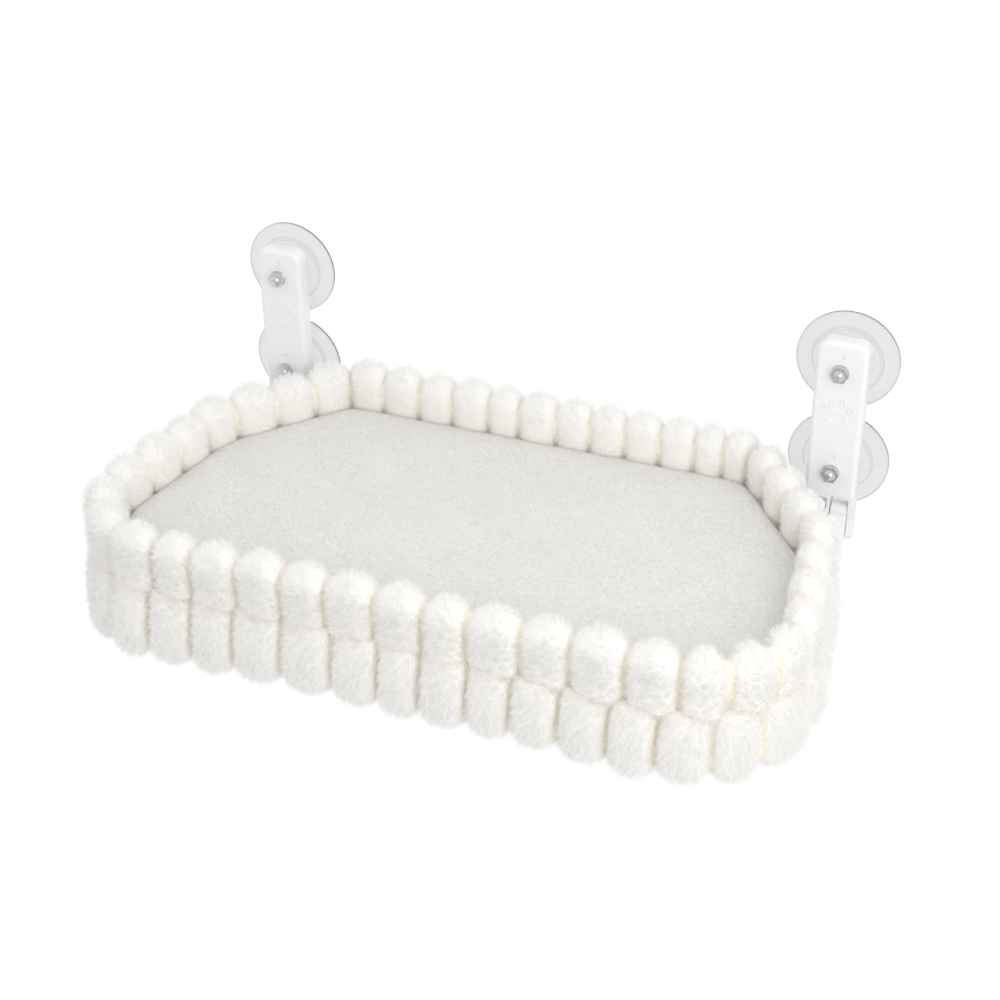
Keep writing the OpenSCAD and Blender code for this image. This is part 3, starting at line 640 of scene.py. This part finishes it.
# Rolls along each run, and where the seams between them lie
back_rolls, wrap_rolls = 12, 31
rear_count, side_count, corner_count = 4, 3, 3
front_count = wrap_rolls - 2 * (rear_count + side_count + corner_count)
back_pitch = 2 * back_half / back_rolls
wrap_pitch = 2 * (half_length - back_half) / wrap_rolls
wrap = [("rear_right", rear_count), ("side_right", side_count), ("corner_right", corner_count),
        ("front", front_count), ("corner_left", corner_count), ("side_left", side_count),
        ("rear_left", rear_count)]
runs = [("back", -back_half, back_pitch, back_rolls)]
first = 0
for name, number in wrap:
    runs.append((name, back_half + wrap_pitch * first, wrap_pitch, number))
    first += number
crumpling = ("back", "rear_left", "rear_right")
upright = ("rear_right", "side_right", "corner_right")
# How far the seams of a run have drifted, in rolls: numbers of the seams, and their drift, for the
# upper tier and then for the lower one
drift = {
    "back": (([0, 3, 10, 12], [0, 0.35, 0.35, 0]), ([0, 12], [0, 0])),
    "corner_right": (([0, 3], [0, -0.3]), ([0, 1, 2, 3], [0, 0.2, 0.1, 0])),
    "front": (([0, 2, 4, 6, 8, 10, 11], [-0.3, -0.27, -0.14, -0.18, -0.09, -0.12, -0.2]),
              ([0, 1, 3, 5, 7, 8, 9, 11], [0, 0, -0.07, -0.16, -0.2, -0.1, 0, 0])),
    "corner_left": (([0, 1, 3], [-0.2, -0.2, 0]), ([0, 1, 3], [0, -0.15, 0])),
}

# Sizes of the cloth. It lies inside the pile, by cloth_inset
tube_level, waist_rise = -0.100, 0.024
waist = tube_level + waist_rise
upper_height, lower_height = 0.050, 0.060
upper_thick, lower_thick = 0.032, 0.033
cloth_inset = 0.0025
lap, slack = 0.0015, 0.001
seam_gap, upright_gap = 0.0005, 0.002
dome_height, upright_dome = 0.0145, 0.02
flare, flare_start = 0.007, 0.018
plan_power, upright_outer_power, upright_inner_power = 0.74, 0.76, 0.95
climb_power, dome_power, least_head = 1.35, 2.2, 0.02
around, levels = 32, 22
seam_scatter, height_scatter, width_scatter, dome_scatter = 0.035, 0.0008, 0.03, 0.06

# The upper tier leans out to the left, from these X and Y on and fully after these lengths
upper_lean, lean_from, lean_over = 0.0005, (-0.02, -0.2), (0.2, 0.1)

# The lower tier sags by these lengths along X, Y and Z near the two front corners
sag_height = 0.03
left_front, left_reach, left_sag = (-0.29, -0.33), 0.016, (0.003, -0.006, -0.008)
right_front, right_reach, right_sag = (0.28, -0.33), 0.006, (-0.003, 0.001, -0.002)

# The web is the band of cloth inside a run's rolls, where the creases end. It goes on a little past
# the run's last seams and narrows there, so that the webs of two runs don't share a face
outer_web, inner_web = 0.0072, 0.008
web_steps, web_past, web_taper = 6, 0.02, 0.9
web_top_drop, web_shoulder, web_top_share = 0.009, 0.007, 0.35
upper_web_foot, lower_web_foot = -0.001, 0.0009
web_full = 0.45

# How far from the waist the hairs stop crossing, turn away from it, lose the painted crease shade,
# both outside and inside the bed, and get their full length
cross_end, turn_end, outer_shade_end, inner_shade_end, short_end = 0.014, 0.011, 0.008, 0.034, 0.006
upper_turn, lower_turn = -0.1, -0.3
crease_start, crease_width = 0.55, 0.45

# Warm cream mixed into the rolls' cloth and pile in the creases, at the waist and low inside the
# bed: painted shade, for the warm light that bounces between the rolls
painted_crease_shade = (0.985, 0.942, 0.865)
roll_cloth = plush_material("roll_cloth", (0.95, 0.935, 0.91), (0.95, 0.935, 0.91),
                            crease=painted_crease_shade)
add_bump(roll_cloth, 300.0, 0.002, 4.0, 0.6)
roll_pile = plush_material("roll_pile", (0.985, 0.978, 0.962), (0.99, 0.99, 0.988),
                           crease=painted_crease_shade, through=0.4)
roll_pile_length = 0.0072
chance = np.random.default_rng(23)


def within_one(value):
    return min(1.0, max(0.0, value))


def nearness(x, y, spot, reach):
    """One at a spot of the plan, and falling away round it."""
    return math.exp(-((x - spot[0]) ** 2 + (y - spot[1]) ** 2) / reach)


def settled(point, climb, upper, height):
    """Where a point of the cloth comes to rest once the bed hangs."""
    x, y, z = point
    if upper:
        leftward = within_one((lean_from[0] - x) / lean_over[0])
        frontward = within_one((lean_from[1] - y) / lean_over[1])
        return x - upper_lean * climb / height * leftward * frontward, y, z
    hang = min(1.0, climb / sag_height)
    left = nearness(x, y, left_front, left_reach)
    right = nearness(x, y, right_front, right_reach)
    sag = [hang * (by_left * left + by_right * right)
           for by_left, by_right in zip(left_sag, right_sag)]
    return x + sag[0], y + sag[1], z + sag[2]


def combed_way(out, climb, into, upper):
    """The hairs are combed away from the waist, and at the waist they cross at random."""
    cross = chance.normal(0.0, 0.75) * (0.15 + math.exp(-(climb / cross_end) ** 2))
    turned = min(1.0, (upper_turn if upper else lower_turn) + climb / turn_end)
    rise = (1.0 if upper else -1.0) * turned * (1 - 0.5 * into)
    return cross * out[1], -cross * out[0], rise


def unshaded_share(u, n, climb, into, upper):
    """Share of the cloth kept free of painted warm shade: one on a roll's round front, down to zero
    in the crease, less at the waist, and less again low on the upper tier's inner face.
    """
    unshaded = within_one((1.0 - abs(u) * (1 - into ** 2)) / 0.22)
    unshaded *= 1.0 if climb > outer_shade_end else 0.7 + 0.3 * climb / outer_shade_end
    inside = upper and n < 0
    return unshaded * (min(1.0, 0.55 + 0.45 * climb / inner_shade_end) if inside else 1.0)


def full_share(u, n, climb, into, upper):
    """Length of the pile: none where rolls press on the pad or on each other, less beside a crease,
    at the waist and inside the bed."""
    against_pad = not upper and n < 0.1 and into < 0.3
    against_roll = abs(n) < 0.4 and into < 0.2
    if against_pad or against_roll:
        return 0.0
    side = max(0.0, abs(u) - crease_start) / crease_width
    share = (1.0 - 0.4 * side) * (1 - 0.25 * math.exp(-(climb / short_end) ** 2))
    if upper:
        return share * (1.0 if n > 0 else 0.6 + 0.4 * into)
    return share * (1 - 0.15 * into if n > 0 else 0.7)


for tier in ("upper", "lower"):
    upper = tier == "upper"
    away = 1.0 if upper else -1.0
    height = (upper_height if upper else lower_height) - cloth_inset
    thick = (upper_thick if upper else lower_thick) - 2 * cloth_inset
    spread = 0.0 if upper else flare
    for name, start, pitch, number in runs:
        standing_free = upper and name in upright
        gap = upright_gap if standing_free else seam_gap
        run_dome = upright_dome if standing_free else dome_height
        a = 2 * math.pi * (np.arange(around) + 0.5) / around
        square = plan_power
        if standing_free:
            square = np.where(np.sin(a) > 0, upright_outer_power, upright_inner_power)
        plan_u, plan_n = (np.sign(v) * abs(v) ** square for v in (np.cos(a), np.sin(a)))
        seams = np.arange(number + 1) + chance.normal(0, seam_scatter, number + 1)
        seams[0], seams[-1] = 0, number
        if name in drift:
            seam_numbers, drifted = drift[name][0 if upper else 1]
            seams += np.interp(np.arange(number + 1), seam_numbers, drifted)
        verts, faces, fullness, combing, unshaded_shares = [], [], [], [], []

        # Rolls, each a stack of rings from the waist to the head
        for k in range(number):
            width, centre = seams[k + 1] - seams[k], (seams[k + 1] + seams[k]) / 2
            tall = height + lap + chance.normal(0, height_scatter) - slack
            wide = chance.normal(1.0, width_scatter)
            dome = run_dome * chance.normal(1.0, dome_scatter)
            first_vert = len(verts)
            for i in range(levels + 1):
                climb = tall * (1 - (1 - i / levels) ** climb_power)
                into = max(0.0, (climb - (tall - dome)) / dome)
                head = max(max(0.0, 1 - into ** dome_power) ** (1 / dome_power), least_head)
                s = start + pitch * centre + (pitch * width / 2 - gap) * head * plan_u
                p, o = on_outline(s)
                flared = 1 - math.exp(-(climb / flare_start) ** 2)
                shift = spread * (-p[:, 1] - bed_gap) / bed_depth * flared
                n = thick / 2 * wide * head * plan_n + shift
                z = waist + away * (climb - lap)
                for j in range(around):
                    point = p[j, 0] + n[j] * o[j, 0], p[j, 1] + n[j] * o[j, 1], z
                    verts.append(settled(point, climb, upper, height))
                    combing.append(combed_way(o[j], climb, into, upper))
                    unshaded_shares.append(unshaded_share(plan_u[j], plan_n[j], climb, into, upper))
                    fullness.append(full_share(plan_u[j], plan_n[j], climb, into, upper))
            for i in range(levels):
                low_ring, high_ring = first_vert + i * around, first_vert + (i + 1) * around
                for j in range(around):
                    j2 = (j + 1) % around
                    faces.append((low_ring + j, low_ring + j2, high_ring + j2, high_ring + j))
            faces.append(tuple(first_vert + j for j in range(around)))
            faces.append(tuple(first_vert + levels * around + j for j in range(around)))

        # Web, one ring of six corners at each step along the run
        web = np.linspace(seams[0] - web_past, seams[-1] + web_past, number * web_steps)
        p, o = on_outline(start + pitch * web)
        foot = upper_web_foot if upper else lower_web_foot
        for i in range(len(web)):
            taper = web_taper if i in (0, len(web) - 1) else 1.0
            top = (height - web_top_drop) * (0.5 + 0.5 * taper)
            section = ((-inner_web, foot), (outer_web, foot), (outer_web, top - web_shoulder),
                       (web_top_share * outer_web, top), (-web_top_share * inner_web, top),
                       (-inner_web, top - web_shoulder))
            sides = len(section)
            for n, climb in section:
                shift = spread * (-p[i, 1] - bed_gap) / bed_depth if climb > 0.01 else 0.0
                q = p[i] + (n * taper + shift) * o[i]
                verts.append((q[0], q[1], waist + away * climb))
                combing.append((0.0, 0.0, away))
                # The web lies deep in the creases, so it takes the full painted crease shade
                unshaded_shares.append(0.0)
                fullness.append(web_full)
            r = len(verts) - sides
            if i:
                faces += [(r - sides + j, r - sides + (j + 1) % sides, r + (j + 1) % sides, r + j)
                          for j in range(sides)]
        web_first = r - sides * (len(web) - 1)
        faces += [tuple(range(r, r + sides)), tuple(range(web_first, web_first + sides))]

        mesh = bpy.data.meshes.new(f"rolls_{tier}_{name}_cloth")
        mesh.from_pydata(verts, [], faces)
        sew_up(mesh)
        mark_points(mesh, "full", fullness)
        mark_points(mesh, "unshaded", unshaded_shares)
        mark_points(mesh, "nap", combing)
        piece = with_pile(f"plush_rolls_{tier}_{name}", mesh, {
            "Density": 1950000.0, "Length": roll_pile_length, "Thickness": 0.00019,
            "Clump Size": 0.0055, "Clump Pull": 0.95, "Sway": 0.4, "Nap Lean": 0.5,
            "Hair Lean": 0.32, "Seed": 31 + len(name), "Cloth Finish": roll_cloth,
            "Pile Finish": roll_pile})
        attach(piece, "bed")
        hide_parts(f"rolls_{tier}_{name}")
        if upper and name in crumpling:
            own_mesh(piece)


# Cloth underside. A plain woven cloth, stretched flat under the tubes and sewn all round to the
# lower rolls, where its edge turns up. It closes the bed from below.
cloth_low, cloth_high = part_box("under_cover")
hem_points, inner_rings = 200, 25
hem_inset, hem_top_inset = 0.0163, 0.0169
hem_profile = ((0.0, 0.5), (0.0006, 0.0), (0.004, 0.0))
cloth_sag = 0.0004
p, o = on_outline(2 * half_length * np.arange(hem_points) / hem_points)
spread = flare * (-p[:, 1] - bed_gap) / bed_depth
rings = []
for inset, level in hem_profile:
    q = p + (spread - hem_inset - inset)[:, None] * o
    z = cloth_high.z - (cloth_high.z - cloth_low.z) * (1 - level)
    rings.append(np.column_stack([q, np.full(hem_points, z)]))
hem = rings[2][:, :2]
for k in range(1, inner_rings):
    f = 1 - k / inner_rings
    q = bed_middle + f * (hem - bed_middle)
    sag = cloth_sag * np.sin(q[:, 0] * 38) * np.cos(q[:, 1] * 47)
    rings.append(np.column_stack([q, cloth_low.z + cloth_sag + sag]))
hem_top = p + (spread - hem_top_inset)[:, None] * o
rings = rings[::-1] + [np.column_stack([hem_top, np.full(hem_points, cloth_high.z)])]
mesh = round_mesh("under_cloth", rings)
sew_up(mesh, close_rims=True)

thread_scale, thread_depth = 320.0, 0.0004
weave = plain_material("under_weave", (0.85, 0.83, 0.79), 0.85)
tree = weave.node_tree
place = tree.nodes.new("ShaderNodeTexCoord")
threads = []
for axis in ("X", "Y"):
    wave = tree.nodes.new("ShaderNodeTexWave")
    wave.bands_direction = axis
    wave.inputs["Scale"].default_value = thread_scale
    wave.inputs["Distortion"].default_value = 0.4
    tree.links.new(place.outputs["Object"], wave.inputs["Vector"])
    threads.append(wave.outputs["Fac"])
bump = tree.nodes.new("ShaderNodeBump")
bump.inputs["Distance"].default_value = thread_depth
bump.inputs["Strength"].default_value = 0.6
tree.links.new(number_math(tree, "MULTIPLY", *threads), bump.inputs["Height"])
tree.links.new(bump.outputs["Normal"], tree.nodes["Principled BSDF"].inputs["Normal"])
mesh.materials.append(weave)
under = bpy.data.objects.new("under_cloth", mesh)
bpy.context.scene.collection.objects.link(under)
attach(under, "bed")
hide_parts("under_cover")
